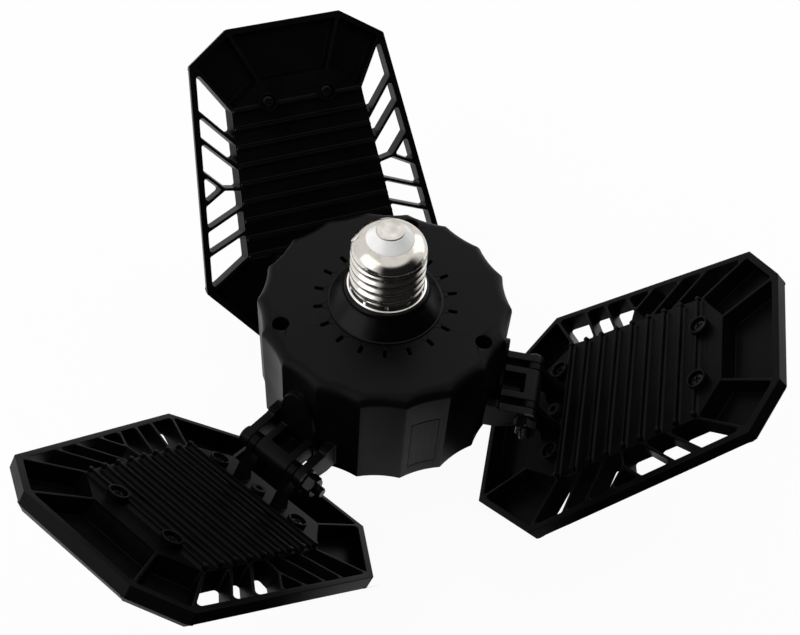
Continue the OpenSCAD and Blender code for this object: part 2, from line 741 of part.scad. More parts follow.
// Hinge bolts run from the head on one side to the nut on the other; the right one is reversed
module at_bolts() {
    for (i = [0 : len(hinge_angles) - 1]) at_hinge(i) on_bolt()
        if (i == 2) rotate([180, 0, 0]) children();
        else children();
}
module hinge_bolts() {
    gloss_black() at_bolts() {
        tube(bolt_d / 2, -ear_out - bolt_head_t / 2, ear_out + washer_t + nut_t + bolt_end);
        tube(bolt_head_d / 2, -ear_out - bolt_head_t, -ear_out);
    }
}
module hinge_washers() {
    gloss_black() at_bolts() difference() {
        tube(washer_d / 2, ear_out, ear_out + washer_t);
        tube(bolt_hole_r, ear_out - over, ear_out + washer_t + over);
    }
}
module hinge_nuts() {
    low = ear_out + washer_t;
    gloss_black() at_bolts() difference() {
        hexagon(nut_width, low, low + nut_t);
        tube(bolt_hole_r, low - over, low + nut_t + over);
    }
}

// Panels
module fin_profile() {
    knee = (fin_foot_t - fin_t) / 2;
    polygon([
        [-fin_foot_t / 2, -plate_rise],
        [fin_foot_t / 2, -plate_rise],
        [fin_foot_t / 2, 0],
        [fin_t / 2 + knee / 3, fin_h / 5],
        [fin_t / 2, fin_h / 2],
        [fin_t / 2, fin_h],
        [-fin_t / 2, fin_h],
        [-fin_t / 2, fin_h / 2],
        [-fin_t / 2 - knee / 3, fin_h / 5],
        [-fin_foot_t / 2, 0]]);
}
module lug_outline() {
    polygon([
        [knuckle_r, 0],
        [lug_foot_out, plate_w + lug_foot_h],
        [lug_foot_out, plate_w - plate_t / 2],
        [-lug_foot_in, plate_w - plate_t / 2],
        [-lug_foot_in, plate_w],
        [-knuckle_r, plate_w + lug_foot_h],
        [-knuckle_r, 0]]);
    circle(r = knuckle_r);
}
module slab(shape, from, to) { translate([0, 0, from]) linear_extrude(to - from) polygon(shape); }
// A solid through outlines of one count of corners, each given with its level, lowest first
module loft(rings) {
    n = len(rings[0][0]);
    last = len(rings) - 1;
    polyhedron([for (ring = rings, place = ring[0]) [place[0], place[1], ring[1]]], [
        [for (i = [0 : n - 1]) i],
        for (k = [0 : last - 1], i = [0 : n - 1])
            let (j = (i + 1) % n)
            each [[k * n + i, k * n + n + i, k * n + n + j], [k * n + i, k * n + n + j, k * n + j]],
        [for (i = [n - 1 : -1 : 0]) last * n + i]]);
}
function depth_at(w) = (rim_w - w) / rim_depth;
function end_cell(k, w) = [rounded(cell(plate_outline[k], rim_inside[k], rim_inside[(k + 1) % 8],
    plate_outline[(k + 1) % 8], depth_at(w)), cell_corner_r), w];
function slot_at(i, w) = [rounded(side_slots(depth_at(w))[i], cell_corner_r), w];
module heatsink() {
    black() difference() {
        union() {
            difference() {
                loft([[inset(rim_outline, rim_draw), rim_front_w], [rim_outline, rim_w]]);
                for (k = [0, 1, 3, 4, 5, 7])
                    loft([end_cell(k, rim_front_w + cell_floor), end_cell(k, rim_w + over)]);
                for (side = [0, 1]) mirror([0, side, 0])
                    for (i = [0 : len(side_slots(0)) - 1])
                        loft([slot_at(i, rim_front_w - over), slot_at(i, rim_w + over)]);
            }
            slab(plate_outline, plate_front_w, plate_w);
            for (i = [0 : fin_count - 1]) {
                x = fin_first + i * fin_pitch;
                half = plate_half_at(x) - fin_margin;
                translate([x, 0, plate_w]) leaf(-half, half) fin_profile();
            }
            for (place = lens_screw_places) translate([place[0], place[1], 0])
                tube(boss_r, plate_w - plate_t / 2, boss_top_w);
            for (side = [-1, 1]) {
                middle = side * (lug_in + lug_t / 2);
                leaf(middle - lug_t / 2, middle + lug_t / 2) lug_outline();
            }
        }
        slab(inset(plate_outline, lip_t), rim_front_w - over, plate_front_w);
        for (place = lens_screw_places) translate([place[0], place[1], 0]) {
            tube(lens_screw_head_d / 2 + screw_fit, boss_top_w - lens_screw_head_h - lens_screw_sink,
                boss_top_w + over);
            tube(lens_screw_d / 2 + screw_fit, plate_front_w - over, boss_top_w);
        }
        tube(gland_hole_r, plate_front_w - over, plate_w + over);
        rotate([-90, 0, 0]) tube(bolt_hole_r, -lug_out - over, lug_out + over);
    }
}
module led_board() {
    color([0.9, 0.9, 0.88]) difference() {
        slab(board_outline, plate_front_w - led_board_t, plate_front_w);
        for (place = lens_screw_places) translate([place[0], place[1], 0])
            tube(pillar_r + screw_fit, plate_front_w - led_board_t - over, plate_front_w + over);
        tube(gland_hole_r, plate_front_w - led_board_t - over, plate_front_w + over);
    }
}
module led_chips() {
    first = plate_outline[3][0] + chip_margin_in;
    last = plate_outline[2][0] - chip_margin_out;
    color([0.95, 0.85, 0.35])
        for (row = [0 : chip_rows - 1], column = [0 : chip_columns - 1]) {
            x = mix(first, last, row / (chip_rows - 1));
            y = (column / (chip_columns - 1) * 2 - 1) * plate_half_at(x) * chip_side_share;
            translate([x - chip_size[0] / 2, y - chip_size[1] / 2,
                plate_front_w - led_board_t - chip_size[2]]) cube(chip_size);
        }
}
module lens() {
    roof = lens_front_w + lens_wall;
    color([0.96, 0.96, 0.95, 0.9]) difference() {
        union() {
            difference() {
                slab(lens_outline, lens_front_w, plate_front_w);
                slab(inset(lens_outline, lens_wall), roof, plate_front_w + over);
            }
            for (place = lens_screw_places) translate([place[0], place[1], 0])
                tube(pillar_r, roof - lens_wall / 2, plate_front_w);
        }
        for (place = lens_screw_places) translate([place[0], place[1], 0])
            tube(lens_screw_d / 2 + thread_fit, roof, plate_front_w + over);
    }
}
module lens_screws() {
    seat = boss_top_w - lens_screw_head_h - lens_screw_sink;
    gloss_black() for (place = lens_screw_places) translate([place[0], place[1], 0]) {
        tube(lens_screw_head_d / 2, seat, seat + lens_screw_head_h);
        tube(lens_screw_d / 2, lens_front_w + lens_wall + lens_screw_end, seat + lens_screw_head_h / 2);
    }
}
module lead_gland() {
    gloss_black() difference() {
        tube(gland_r, plate_w, plate_w + gland_h);
        tube(gland_bore_r, plate_w - over, plate_w + gland_h + over);
    }
}

hub_housing();
hub_base();
housing_screws();
side_plug();
cap_holder();
cap_shell();
cap_insulator();
cap_contact();
cap_leads();
driver_board();
board_screws();
driver_transformer();
driver_capacitors();
hinge_bolts();
hinge_washers();
hinge_nuts();
at_panel(0) heatsink();  // heatsink_back
at_panel(0) led_board();  // led_board_back
at_panel(0) led_chips();  // led_chips_back
at_panel(0) lens();  // lens_back
at_panel(0) lens_screws();  // lens_screws_back
at_panel(0) lead_gland();  // lead_gland_back
at_panel(1) heatsink();  // heatsink_left
at_panel(1) led_board();  // led_board_left
at_panel(1) led_chips();  // led_chips_left
at_panel(1) lens();  // lens_left
at_panel(1) lens_screws();  // lens_screws_left
at_panel(1) lead_gland();  // lead_gland_left
at_panel(2) heatsink();  // heatsink_right
at_panel(2) led_board();  // led_board_right
at_panel(2) led_chips();  // led_chips_right
at_panel(2) lens();  // lens_right
at_panel(2) lens_screws();  // lens_screws_right
at_panel(2) lead_gland();  // lead_gland_right
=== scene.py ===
"""Looks of the three-panel garage light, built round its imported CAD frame."""
import json
import math

import bmesh
import bpy
from mathutils import Matrix, Vector


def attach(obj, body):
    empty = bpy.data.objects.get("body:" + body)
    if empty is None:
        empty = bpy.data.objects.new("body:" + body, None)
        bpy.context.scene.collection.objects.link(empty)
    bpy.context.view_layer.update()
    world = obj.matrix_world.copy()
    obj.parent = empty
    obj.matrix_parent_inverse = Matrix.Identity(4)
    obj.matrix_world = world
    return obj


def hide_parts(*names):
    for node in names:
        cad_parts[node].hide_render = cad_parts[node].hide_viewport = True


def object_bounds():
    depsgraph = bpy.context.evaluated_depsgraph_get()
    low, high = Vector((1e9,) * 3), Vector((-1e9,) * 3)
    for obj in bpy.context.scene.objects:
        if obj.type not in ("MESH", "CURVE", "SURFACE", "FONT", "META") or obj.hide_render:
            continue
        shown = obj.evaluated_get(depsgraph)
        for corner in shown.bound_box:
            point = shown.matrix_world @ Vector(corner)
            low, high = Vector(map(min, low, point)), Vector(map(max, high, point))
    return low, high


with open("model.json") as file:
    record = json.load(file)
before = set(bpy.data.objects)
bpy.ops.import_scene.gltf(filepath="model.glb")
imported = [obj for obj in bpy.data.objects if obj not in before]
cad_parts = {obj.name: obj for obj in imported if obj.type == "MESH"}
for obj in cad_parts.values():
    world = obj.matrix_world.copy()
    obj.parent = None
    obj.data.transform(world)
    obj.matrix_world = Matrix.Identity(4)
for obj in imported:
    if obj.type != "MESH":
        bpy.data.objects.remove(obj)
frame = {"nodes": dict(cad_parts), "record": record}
cad_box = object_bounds()
scene = bpy.context.scene
MM = 0.001

# ---------------------------------------------------------------- camera
CAMERA_PLACE = Vector((-111.53, -270.38, 331.47)) * MM
CAMERA_RIGHT = Vector((0.9400, -0.3367, 0.0555))
CAMERA_UP = Vector((0.2255, 0.7351, 0.6393))
CAMERA_FORWARD = Vector((0.2560, 0.5884, -0.7669))
CAMERA_LENS, SENSOR_WIDTH = 57.22, 36
CAMERA_NEAR, CAMERA_FAR = 0.01, 20


def place_camera():
    camera = bpy.data.cameras.new("camera")
    camera.lens, camera.sensor_width = CAMERA_LENS, SENSOR_WIDTH
    camera.sensor_fit = "HORIZONTAL"
    camera.clip_start, camera.clip_end = CAMERA_NEAR, CAMERA_FAR
    holder = bpy.data.objects.new("camera", camera)
    turn = Matrix((CAMERA_RIGHT, CAMERA_UP, -CAMERA_FORWARD)).transposed()
    holder.matrix_world = Matrix.Translation(CAMERA_PLACE) @ turn.to_4x4()
    scene.collection.objects.link(holder)
    scene.camera = holder


place_camera()


# ---------------------------------------------------------------- shader writing
class Flow:
    """A value that runs through a material's nodes; sums and products on it add Math nodes."""

    def __init__(self, finish, socket):
        self.finish, self.socket = finish, socket

    def __add__(self, other):
        return self.finish.maths("ADD", self, other)

    __radd__ = __add__

    def __sub__(self, other):
        return self.finish.maths("SUBTRACT", self, other)

    def __rsub__(self, other):
        return self.finish.maths("SUBTRACT", other, self)

    def __mul__(self, other):
        return self.finish.maths("MULTIPLY", self, other)

    __rmul__ = __mul__

    def __gt__(self, other):
        return self.finish.maths("GREATER_THAN", self, other)

    def root(self):
        return self.finish.maths("SQRT", self)

    def arctan(self, other):
        return self.finish.maths("ARCTAN2", self, other)

    def within(self, low, high):
        """Rises softly from 0 at low to 1 at high."""
        return self.finish.node(
            "ShaderNodeMapRange", {"clamp": True, "interpolation_type": "SMOOTHSTEP"},
            {"Value": self, "From Min": low, "From Max": high})


class Finish:
    """One material or world, whose nodes are all made by one method."""

    def __init__(self, name, owner=None, place="Object"):
        self.material = owner or bpy.data.materials.new(name)
        self.material.use_nodes = True
        self.tree = self.material.node_tree
        self.tree.nodes.clear()
        self.place = self.node("ShaderNodeTexCoord", out=place)

    def node(self, kind, settings=None, inputs=None, out=0):
        """Adds a node: its settings first, then the values or links of its sockets."""
        made = self.tree.nodes.new(kind)
        for key, value in (settings or {}).items():
            setattr(made, key, value)
        for key, value in (inputs or {}).items():
            if isinstance(value, Flow):
                self.tree.links.new(value.socket, made.inputs[key])
            else:
                made.inputs[key].default_value = value
        return Flow(self, made.outputs[out]) if made.outputs else None

    def maths(self, operation, *values):
        return self.node("ShaderNodeMath", {"operation": operation}, dict(enumerate(values)))

    def noise(self, scale, detail=3, roughness=0.5, place=None):
        return self.node("ShaderNodeTexNoise", None,
                         {"Vector": place or self.place, "Scale": scale, "Detail": detail,
                          "Roughness": roughness})

    def parts(self):
        """The place's x, y and z."""
        axes = self.node("ShaderNodeSeparateXYZ", None, {0: self.place})
        return [Flow(self, out) for out in axes.socket.node.outputs]

    def blend(self, share, low, high):
        """A colour between two colours."""
        return self.node("ShaderNodeMix", {"data_type": "RGBA"},
                         {0: share, 6: (*low, 1), 7: (*high, 1)}, out=2)

    def bump(self, height, strength, depth):
        """A normal from a height; the depth is in millimetres."""
        return self.node("ShaderNodeBump", None,
                         {"Height": height, "Strength": strength, "Distance": depth * MM},
                         out="Normal")

    def surface(self, **sockets):
        """Ends the material with a Principled shader, whose sockets are named by the words."""
        inputs = {key.replace("_", " "): value for key, value in sockets.items()}
        return self.end(self.node("ShaderNodeBsdfPrincipled", None, inputs))

    def end(self, shader, kind="ShaderNodeOutputMaterial"):
        self.node(kind, None, {"Surface": shader})
        return self.material


def satin_black(name, base, roughness, grain, relief, specular):
    """Black moulding or coated casting: fine grain, cloudy sheen and a dusty lift of colour."""
    f = Finish(name)
    fine = f.noise(grain, 4, 0.6)
    cloud = f.noise(70, 3)
    dark, light = [c * 0.75 for c in base], [c * 1.3 for c in base]
    return f.surface(Base_Color=f.blend(cloud.within(0.3, 0.72), dark, light),
                     Roughness=roughness + (cloud - 0.5) * 0.16 + (fine - 0.5) * 0.12,
                     Normal=f.bump(fine + f.noise(grain * 0.35, 2) * 0.6, relief, 0.04),
                     Specular_IOR_Level=specular)


def plated_shell():
    """Nickel plate over rolled sheet: drawing marks round the cap, random stains, and painted shade
    that darkens the colour in the grooves.
    """
    groove_foot, groove_edge = 12.2 * MM, 13.1 * MM
    f = Finish("nickel_shell")
    x, y, z = f.parts()
    reach = (x * x + y * y).root()
    groove_shade = 1 - reach.within(groove_foot, groove_edge)
    rings = f.node("ShaderNodeCombineXYZ", None, {0: x * 0.08, 1: y * 0.08, 2: z})
    drawn = f.noise(5200, 3, 0.6, rings)
    stain = f.noise(260, 4, 0.62)
    # painted shade: the colour darkens in the thread's grooves, mixed with random stains
    groove_shade_and_stain = (groove_shade * 0.5 + stain.within(0.45, 0.8) * 0.35).within(0, 1)
    return f.surface(Base_Color=f.blend(groove_shade_and_stain, (0.78, 0.75, 0.71), (0.46, 0.42, 0.36)), Metallic=1.0,
                     Roughness=0.14 + stain.within(0.35, 0.75) * 0.08 + (drawn - 0.5) * 0.04,
                     Normal=f.bump(drawn, 0.1, 0.02))


def dull_contact():
    """Tin-plated end contact with a slightly pitted face."""
    f = Finish("contact_tin")
    pits = f.noise(900, 4, 0.6)
    flow = f.noise(240, 2)
    colour = f.blend(flow.within(0.3, 0.7), (0.4, 0.375, 0.34), (0.55, 0.53, 0.5))
    return f.surface(Base_Color=colour, Metallic=1.0, Roughness=0.36 + (pits - 0.5) * 0.16,
                     Normal=f.bump(pits * 0.4 + flow, 0.35, 0.1))


def bright_solder():
    f = Finish("solder")
    flow = f.noise(700, 2)
    return f.surface(Base_Color=f.blend(flow, (0.5, 0.48, 0.45), (0.62, 0.6, 0.57)), Metallic=1.0,
                     Roughness=0.16 + flow * 0.1, Normal=f.bump(flow, 0.2, 0.1))


def glazed_white():
    """White moulded insulator: glossy, with a faint warm cloud."""
    f = Finish("insulator_white")
    cloud = f.noise(150, 3)
    return f.surface(Base_Color=f.blend(cloud, (0.83, 0.82, 0.8), (0.89, 0.89, 0.88)),
                     Roughness=0.24 + (cloud - 0.5) * 0.1,
                     Normal=f.bump(f.noise(420, 2), 0.15, 0.05),
                     Coat_Weight=0.3, Coat_Roughness=0.08)


def frosted_lens():
    f = Finish("lens_frosted")
    grain = f.noise(2600, 3, 0.6)
    cloud = f.noise(60, 2)
    return f.surface(Base_Color=f.blend(cloud, (0.8, 0.8, 0.79), (0.86, 0.86, 0.85)),
                     Roughness=0.42 + (grain - 0.5) * 0.15, Normal=f.bump(grain, 0.3, 0.03),
                     Subsurface_Weight=0.25, Subsurface_Radius=(2 * MM, 2 * MM, 2 * MM))


def plain_finish(name, low, high, roughness, scale, relief, metallic):
    """Even finish that drifts between two colours."""
    f = Finish(name)
    cloud = f.noise(scale, 3)
    return f.surface(Base_Color=f.blend(cloud, low, high),
                     Roughness=roughness + (cloud - 0.5) * 0.15,
                     Metallic=metallic, Normal=f.bump(cloud, relief, 0.04))


# Base colour, roughness, scale of the grain, relief and specular level.
SATIN_BLACKS = {
    "hub_black": ((0.0018, 0.0018, 0.0019), 0.4, 2600, 0.12, 0.065),
    "holder_black": ((0.0014, 0.0014, 0.0014), 0.24, 3200, 0.04, 0.1),
    "panel_black": ((0.0014, 0.0014, 0.0014), 0.36, 2100, 0.2, 0.045),
    "hardware_black": ((0.002, 0.002, 0.002), 0.28, 3000, 0.2, 0.16),
    "gland_rubber": ((0.003, 0.003, 0.003), 0.55, 1800, 0.3, 0.08),
    "driver_dark": ((0.02, 0.02, 0.021), 0.4, 1500, 0.2, 0.35),
}
# Two colours, roughness, scale of the drift, relief and metallic.
PLAIN_FINISHES = {
    "plain_steel": ((0.45, 0.45, 0.46), (0.62, 0.62, 0.63), 0.32, 900, 0.2, 1.0),
    "lead_red": ((0.4, 0.03, 0.025), (0.5, 0.05, 0.04), 0.45, 400, 0.2, 0.0),
    "board_green": ((0.03, 0.16, 0.07), (0.05, 0.22, 0.1), 0.4, 400, 0.2, 0.0),
    "led_board_white": ((0.74, 0.74, 0.73), (0.82, 0.82, 0.81), 0.45, 400, 0.2, 0.0),
    "led_phosphor": ((0.78, 0.62, 0.12), (0.88, 0.74, 0.22), 0.35, 400, 0.2, 0.0),
}
FINISHES = {
    **{name: satin_black(name, *look) for name, look in SATIN_BLACKS.items()},
    "nickel_shell": plated_shell(),
    "contact_tin": dull_contact(),
    "solder": bright_solder(),
    "insulator_white": glazed_white(),
    "lens_frosted": frosted_lens(),
    **{name: plain_finish(name, *look) for name, look in PLAIN_FINISHES.items()},
}

SLOT_OF = {s["node"]: s["material_slot"] for s in frame["record"]["subparts"]}
BODY_OF = {n: body for body, nodes in frame["record"]["behaviour"]["bodies"].items()
           for n in nodes}

# ---------------------------------------------------------------- places
# Lengths are in millimetres and angles in degrees from here to the stage.
PANEL_TILT = {"back": 52.4, "left": 40.9, "right": 47.7}
PANEL_TURN = {"back": 90, "left": 210, "right": 330}
HINGE_REACH, HINGE_LEVEL = 56.7, -45.8
HERE = Matrix.Identity(4)


def around(angle, axis="Z"):
    return Matrix.Rotation(math.radians(angle), 4, axis)


def shifted(x, y, z):
    return Matrix.Translation(Vector((x, y, z)) * MM)


def hinge_place(turn):
    return around(turn) @ shifted(HINGE_REACH, 0, HINGE_LEVEL)


def panel_place(side):
    """A panel's own frame: origin on its hinge, x out along the panel, z out of its back."""
    return hinge_place(PANEL_TURN[side]) @ around(-PANEL_TILT[side], "Y")


# ---------------------------------------------------------------- mesh making
EVEN_WEIGHT = 60
replaced = set()


def keep(name, mesh, finish, node, replaces=True, sharp_angle=32):
    """Puts a mesh in the scene with its finish, on the body of a CAD node, and as a rule in
    that node's place."""
    for face in mesh.polygons:
        face.use_smooth = True
    mesh.set_sharp_from_angle(angle=math.radians(sharp_angle))
    mesh.materials.clear()
    mesh.materials.append(FINISHES[finish])
    piece = bpy.data.objects.new(name, mesh)
    scene.collection.objects.link(piece)
    level = piece.modifiers.new("even_normals", "WEIGHTED_NORMAL")
    level.mode, level.keep_sharp, level.weight = "FACE_AREA", True, EVEN_WEIGHT
    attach(piece, BODY_OF[node])
    if replaces:
        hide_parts(node)
        replaced.add(node)


WELD, SLIVER = 0.02, 0.001
EDGE_ANGLE, EDGE_STEPS = 28, 2
HUB_TOP, TOP_SLACK = -9, 0.01


def eased(name, node, radius):
    """A CAD piece with its sharp edges eased by a small radius, as its mould leaves them."""
    bm = bmesh.new()
    bm.from_mesh(frame["nodes"][node].data)
    bmesh.ops.remove_doubles(bm, verts=bm.verts, dist=WELD * MM)
    if node.startswith("heatsink_"):
        steepen_wall(bm, panel_place(node[len("heatsink_"):]))
    if node == "hub_housing":
        unfold_level(bm, HUB_TOP)
    limit = math.radians(EDGE_ANGLE)
    edges = [e for e in bm.edges if len(e.link_faces) == 2 and e.calc_face_angle(0) > limit]
    bmesh.ops.bevel(bm, geom=edges, offset=radius * MM, offset_type="OFFSET",
                    segments=EDGE_STEPS, profile=0.5, affect="EDGES", clamp_overlap=False,
                    loop_slide=True)
    bmesh.ops.dissolve_degenerate(bm, dist=SLIVER * MM, edges=bm.edges)
    mesh = bpy.data.meshes.new(name)
    bm.to_mesh(mesh)
    bm.free()
    keep(name, mesh, SLOT_OF[node], node)


def unfold_level(bm, level):
    """Fills a flat level again where long triangles lie over its scalloped outline and
    others fold back."""
    flat = {f for f in bm.faces
            if all(abs(v.co.z / MM - level) < TOP_SLACK for v in f.verts)}
    folded = {f for f in flat if f.normal.z < 0}
    edged = {near for f in folded for e in f.edges for near in e.link_faces}
    patch = folded | (edged & flat)
    if not patch:
        return
    lines = {e for f in patch for e in f.edges}
    bmesh.ops.delete(bm, geom=list(patch), context="FACES_ONLY")
    border = [e for e in lines if e.link_faces]
    for e in lines.difference(border):
        bm.edges.remove(e)
    for f in bmesh.ops.triangle_fill(bm, use_beauty=True, edges=border, normal=(0, 0, 1))["geom"]:
        if isinstance(f, bmesh.types.BMFace) and f.normal.z < 0:
            f.normal_flip()


# The rim's outline where it is widest, at its back edge, in the panel's own frame.
RIM_CORNERS = [(94.3, -23.1), (94.3, 23.1), (82.9, 40.1), (-6.9, 51.1), (-35.1, 28.4),
               (-35.1, -28.4), (-6.9, -51.1), (82.9, -40.1)]
RIM_FRONT, WALL_FOOT, CHAMFER, WALL_DRAW = -22.9, -20.6, 2.4, 0.2
FRONT_SLACK, CORNER_SLACK = 0.05, 0.3


def rim_sides():
    """Each side of the rim's outline as a corner and a direction inwards."""
    for k, (x, y) in enumerate(RIM_CORNERS):
        end = RIM_CORNERS[(k + 1) % len(RIM_CORNERS)]
        along = Vector((end[0] - x, end[1] - y, 0)).normalized()
        yield Vector((x, y, 0)), Vector((-along.y, along.x, 0))


def at_front(v):
    return abs(v.co.z - RIM_FRONT * MM) < FRONT_SLACK * MM


def steepen_wall(bm, place):
    """Takes the rim's outer wall straight down and then back to its front face by a broad
    chamfer."""
    bmesh.ops.transform(bm, matrix=place.inverted(), verts=bm.verts)
    sides = list(rim_sides())
    for corner, inward in sides:
        front = [f for f in bm.faces if all(at_front(v) for v in f.verts)]
        edges = {e for f in front for e in f.edges}
        points = {v for e in edges for v in e.verts}
        bmesh.ops.bisect_plane(bm, geom=[*front, *edges, *points], dist=SLIVER * MM,
                               plane_co=(corner + inward * CHAMFER) * MM, plane_no=inward)
    for v in filter(at_front, bm.verts):
        near = [(corner, inward) for corner, inward in sides
                if (v.co / MM - corner).dot(inward) < CHAMFER - CORNER_SLACK]
        if near:
            v.co = outline_point(v.co / MM, near) * MM
    bmesh.ops.transform(bm, matrix=place, verts=bm.verts)


def outline_point(point, near):
    """Moves a point of the wall's lower edge out to the steeper wall's foot."""
    if len(near) == 1:
        corner, inward = near[0]
        moved = point - inward * ((point - corner).dot(inward) - WALL_DRAW)
    else:
        (a, n), (b, m) = near
        p, q = a.dot(n) + WALL_DRAW, b.dot(m) + WALL_DRAW
        spread = n.x * m.y - n.y * m.x
        moved = Vector(((p * m.y - q * n.y) / spread, (q * n.x - p * m.x) / spread, 0))
    return Vector((moved.x, moved.y, WALL_FOOT))


def smooth(value, low, high):
    share = min(max((value - low) / (high - low), 0), 1)
    return share * share * (3 - 2 * share)


def mix(low, high, share):
    return low + (high - low) * share


def skin(rows, hollow=False):
    """A closed skin over rows of points that each run once round. Its first and last rows
    are filled, or in a hollow skin joined to each other."""
    count = len(rows[0])
    points = [Vector(point) * MM for row in rows for point in row]
    faces = []
    for k in range(len(rows) if hollow else len(rows) - 1):
        low, high = k * count, (k + 1) % len(rows) * count
        for i in range(count):
            j = (i + 1) % count
            faces.append((low + i, low + j, high + j, high + i))
    if not hollow:
        faces.append(tuple(range(count - 1, -1, -1)))
        faces.append(tuple((len(rows) - 1) * count + i for i in range(count)))
    return points, faces


def ring(radius, z, steps):
    return [(radius * math.cos(math.tau * i / steps), radius * math.sin(math.tau * i / steps), z)
            for i in range(steps)]


def turned(profile, steps=96):
    """A turned solid: the profile runs from its foot to its top."""
    return skin([ring(radius, z, steps) for radius, z in profile])


def arc(centre, radius, start, end, steps):
    turns = [math.radians(mix(start, end, i / steps)) for i in range(steps + 1)]
    return [(centre[0] + radius * math.cos(turn), centre[1] + radius * math.sin(turn))
            for turn in turns]


def mesh_of(name, shapes):
    """One mesh out of several (points, faces, place) shapes."""
    points, faces = [], []
    for shape_points, shape_faces, place in shapes:
        first = len(points)
        points += [place @ point for point in shape_points]
        faces += [tuple(first + i for i in face) for face in shape_faces]
    mesh = bpy.data.meshes.new(name)
    mesh.from_pydata(points, [], faces)
    mesh.validate()
    mesh.update()
    return mesh


def build(name, shapes, finish, node, sharp_angle, replaces=True):
    """Keeps several shapes as one piece."""
    keep(name, mesh_of(name, shapes), finish, node, replaces, sharp_angle)


# ---------------------------------------------------------------- screw cap
FACING, FIRST_CREST, PITCH = 247.6, 4.7, 3.63
CREST_R, GROOVE_DEPTH, CREST_FULLNESS = 13.2, 1.05, 0.68
THREAD_START, THREAD_END = (2.3, 3.9), (15.9, 17.6)
SKIRT_FOOT_R, SKIRT_TOP_R, NECK_R = 13.42, 13.1, 13.0
SKIRT_FOOT, SKIRT_TOP = 0.68, 2.45
WALL_LOW, WALL_HIGH = 2.6, 17.8
BEAD = [(13.4, 0.02), *arc((13.77, 0.24), 0.22, -90, 110, 8), (13.58, 0.47), (13.47, 0.56)]
DOME_MIDDLE, DOME_REACH, DOME_TURN = (4.15, 17.4), (8.85, 5.83), (4, 62)
LINING = [(8.2, 22.45), (7.9, 22.2), (11.8, 17.4), (11.8, 0.02)]
DIMPLES = [250 + 36 * i for i in range(10)]
DIMPLE_LEVEL, DIMPLE_DEPTH, DIMPLE_SPREAD, DIMPLE_R = 1.6, 0.5, 0.32, 13


def cap_radius(angle, z):
    """Rolled thread that rises out of the plain skirt and runs out in the shoulder."""
    phase = (z - FIRST_CREST) / PITCH - (angle - FACING) / 360
    wave = 0.5 + 0.5 * math.cos(math.tau * phase)
    thread = CREST_R - GROOVE_DEPTH * (1 - wave ** CREST_FULLNESS)
    low = mix(SKIRT_TOP_R, thread, smooth(z, *THREAD_START))
    return mix(low, NECK_R, smooth(z, *THREAD_END))


def dent(angle, z):
    """How far the dimples of the skirt reach in at a place on it."""
    depth = 0
    for place in DIMPLES:
        across = math.radians((angle - place + 180) % 360 - 180) * DIMPLE_R
        off = across * across + (z - DIMPLE_LEVEL) ** 2
        depth = max(depth, DIMPLE_DEPTH * math.exp(-off / DIMPLE_SPREAD))
    return depth


def build_cap():
    """The shell, row by row: rim bead, dimpled skirt, thread, dome and inner wall."""
    steps, skirt_rows, wall_rows, dome_rows = 216, 9, 78, 17
    angles = [360 * i / steps for i in range(steps)]
    rows = [[point] * steps for point in BEAD]
    for k in range(skirt_rows):
        share = k / (skirt_rows - 1)
        z = mix(SKIRT_FOOT, SKIRT_TOP, share)
        rows.append([(mix(SKIRT_FOOT_R, SKIRT_TOP_R, share) - dent(angle, z), z)
                     for angle in angles])
    for k in range(wall_rows):
        z = mix(WALL_LOW, WALL_HIGH, k / (wall_rows - 1))
        rows.append([(cap_radius(angle, z), z) for angle in angles])
    for k in range(dome_rows):
        turn = math.radians(mix(*DOME_TURN, k / (dome_rows - 1)))
        rows.append([(DOME_MIDDLE[0] + DOME_REACH[0] * math.cos(turn),
                      DOME_MIDDLE[1] + DOME_REACH[1] * math.sin(turn))] * steps)
    rows += [[point] * steps for point in LINING]
    rows = [[(r * math.cos(math.radians(a)), r * math.sin(math.radians(a)), z)
             for (r, z), a in zip(row, angles)] for row in rows]
    build("cap_shell_rolled", [(*skin(rows, True), HERE)], "nickel_shell", "cap_shell", 50)


def build_cap_top():
    cone = [(8.24, 22.2), (8.22, 22.6), (8.1, 22.82), (7.7, 23.25), (7.1, 23.95), (6.5, 24.65),
            (5.9, 25.35), (5.5, 25.85), (5.34, 26.08), (5.2, 26.25), (5.0, 26.33), (1.2, 26.33)]
    build("cap_insulator_glazed", [(*turned(cone), HERE)], "insulator_white",
          "cap_insulator", 50)
    dish = [(4.6, 26.2), (4.88, 26.34), (4.93, 26.45), (4.93, 26.66), (4.86, 26.84),
            (4.66, 26.93), (4.4, 26.92), (3.9, 26.8), (3.0, 26.7), (1.6, 26.66), (0.4, 26.65)]
    build("cap_contact_pressed", [(*turned(dish, 72), HERE)], "contact_tin", "cap_contact", 50)


SOLDER_R, SOLDER_WAVE, SOLDER_STRETCH, SOLDER_LIFT = 1.15, 0.22, 1.5, 0.62


def build_solder():
    """Side joint: a flattened bead of solder run out over the shoulder."""
    steps, levels = 28, 8
    rows = []
    for k in range(levels):
        lift = math.radians(90 * k / levels)
        row = []
        for a in [math.tau * i / steps for i in range(steps)]:
            along = math.cos(lift) * (SOLDER_R + SOLDER_WAVE * math.sin(3 * a + 1)) * math.cos(a)
            across = math.cos(lift) * (SOLDER_R + SOLDER_WAVE * math.sin(2 * a)) * math.sin(a)
            row.append((along * SOLDER_STRETCH, across, math.sin(lift) * SOLDER_LIFT))
        rows.append(row)
    place = around(153) @ shifted(11.68, 0, 20.3) @ around(48, "Y")
    build("cap_solder", [(*skin(rows), place)], "solder", "cap_shell", 70, False)


